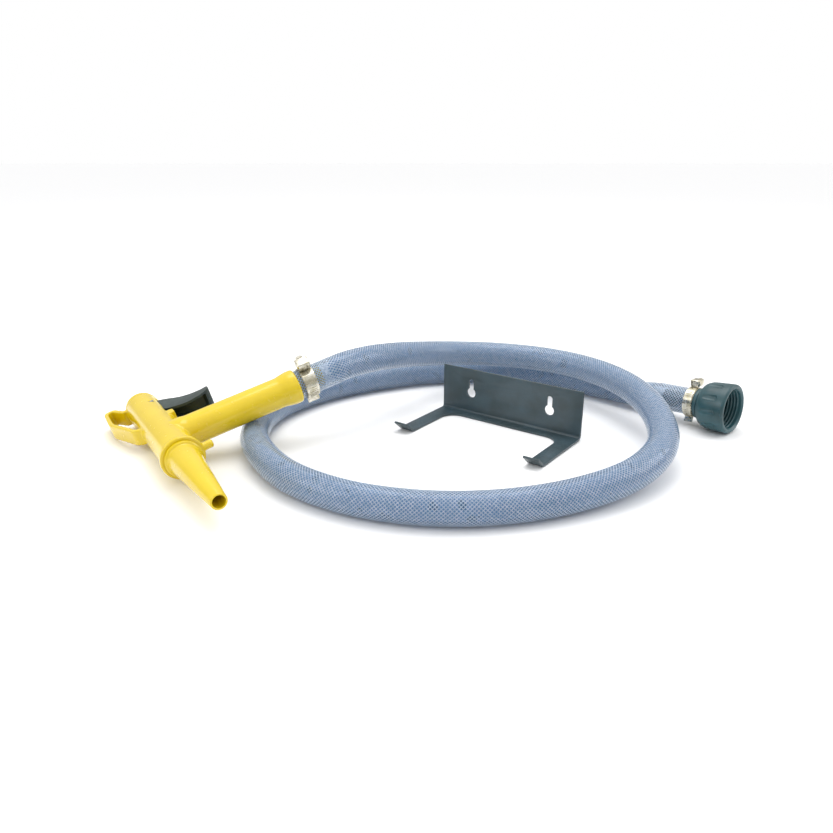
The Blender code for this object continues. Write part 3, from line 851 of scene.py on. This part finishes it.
def makeBracket():
    sheet, width, height = bracket["sheet"], bracket["width"], bracket["height"]
    sideView = rounded(
        [(0, 0, 4.5), (bracket["reach"], 0, 4.5), (bracket["tip"], 9.0, 0.6), (bracket["tip"] - 1.4, 10.4, 0.6),
         (bracket["reach"] - 0.8, sheet, 2.5), (sheet, sheet, 2.5), (sheet, height, 0.6), (0, height, 0.6)]
    )
    stood = Matrix(((0, 0, 1, 0), (1, 0, 0, 0), (0, 1, 0, 0), (0, 0, 0, 1)))
    made = slab("wallBracket", [sideView], -width / 2, width / 2, bracketFrame @ stood, paintedSteel)
    inner = width / 2 - bracket["armWidth"]
    notch = slab(
        "notch",
        [rounded([(-inner, 120, 0), (-inner, bracket["web"], 15), (inner, bracket["web"], 15), (inner, 120, 0)], 16)],
        -10, 30, bracketFrame,
    )
    holes = [
        slab("keyhole", [keyhole()], -10, 10, bracketFrame @ shift(x, 0, 22.6) @ turn(90, "X"))
        for x in (-43.2, 43.2)
    ]
    cut(made, notch, *holes)
    softened(made, 0.3, 2)
    return finished(made, "bracket", "bracket_paint", "wall_bracket")


makeBracket()
print("bracket made")

# Inner pieces

carriedOver = {
    "seat_ring": blackRubber, "gland_packing": blackRubber, "valve_poppet": blackRubber,
    "coupling_washer": blackRubber, "gland_bush": stainlessSteel, "valve_stem": stainlessSteel,
    "pivot_pin": stainlessSteel, "return_spring": springWire,
}
for node, look in carriedOver.items():
    piece = frame["nodes"][node]
    for slot in piece.material_slots:
        slot.material = look

# Floor and light


def makeStage():
    mesh = bpy.data.meshes.new("floor")
    mesh.from_pydata([(-6, -4, -0.0004), (6, -4, -0.0004), (6, 9, -0.0004), (-6, 9, -0.0004)], [], [(0, 1, 2, 3)])
    look, _, _ = newMaterial("pale_floor", {"Base Color": (0.95, 0.95, 0.955, 1), "Roughness": 0.7})
    floor = newObject("floor", mesh, look)
    world = bpy.data.worlds.new("studio")
    world.use_nodes = True
    tree = world.node_tree
    # The room is bright above and dim near the bench, and the wall behind is plain white.
    upward = addNode(
        tree, "ShaderNodeSeparateXYZ", links={"Vector": addNode(tree, "ShaderNodeTexCoord").outputs["Generated"]}
    )
    glow = addNode(
        tree, "ShaderNodeMapRange", {"From Min": 0.0, "From Max": 1.0, "To Min": 0.45, "To Max": 1.35},
        {"Value": upward.outputs["Z"]},
    )
    shown = addNode(tree, "ShaderNodeMix", {"data_type": "FLOAT"})
    shown.inputs["B"].default_value = 1.0
    tree.links.new(addNode(tree, "ShaderNodeLightPath").outputs["Is Camera Ray"], shown.inputs["Factor"])
    tree.links.new(glow.outputs["Result"], shown.inputs["A"])
    background = tree.nodes["Background"]
    background.inputs["Color"].default_value = (1, 1, 1, 1)
    tree.links.new(shown.outputs["Result"], background.inputs["Strength"])
    scene.world = world
    softboxes = {
        "overhead": ((0.1, 0.5, 1.6), (0.05, 0.05, 0), 1.2, 12),
        "left": ((-1.4, -0.5, 0.9), (0, 0, 0), 0.8, 6),
        "right": ((1.6, 0.2, 0.8), (0.1, 0.05, 0), 0.7, 5),
    }
    for name, (place, aim, size, power) in softboxes.items():
        light = bpy.data.lights.new(name, "AREA")
        light.shape = "SQUARE"
        light.size = size
        light.energy = power
        obj = bpy.data.objects.new(name, light)
        obj.location = place
        obj.rotation_euler = (Vector(aim) - Vector(place)).to_track_quat("-Z", "Y").to_euler()
        scene.collection.objects.link(obj)


makeStage()
scene.view_settings.view_transform = "Standard"
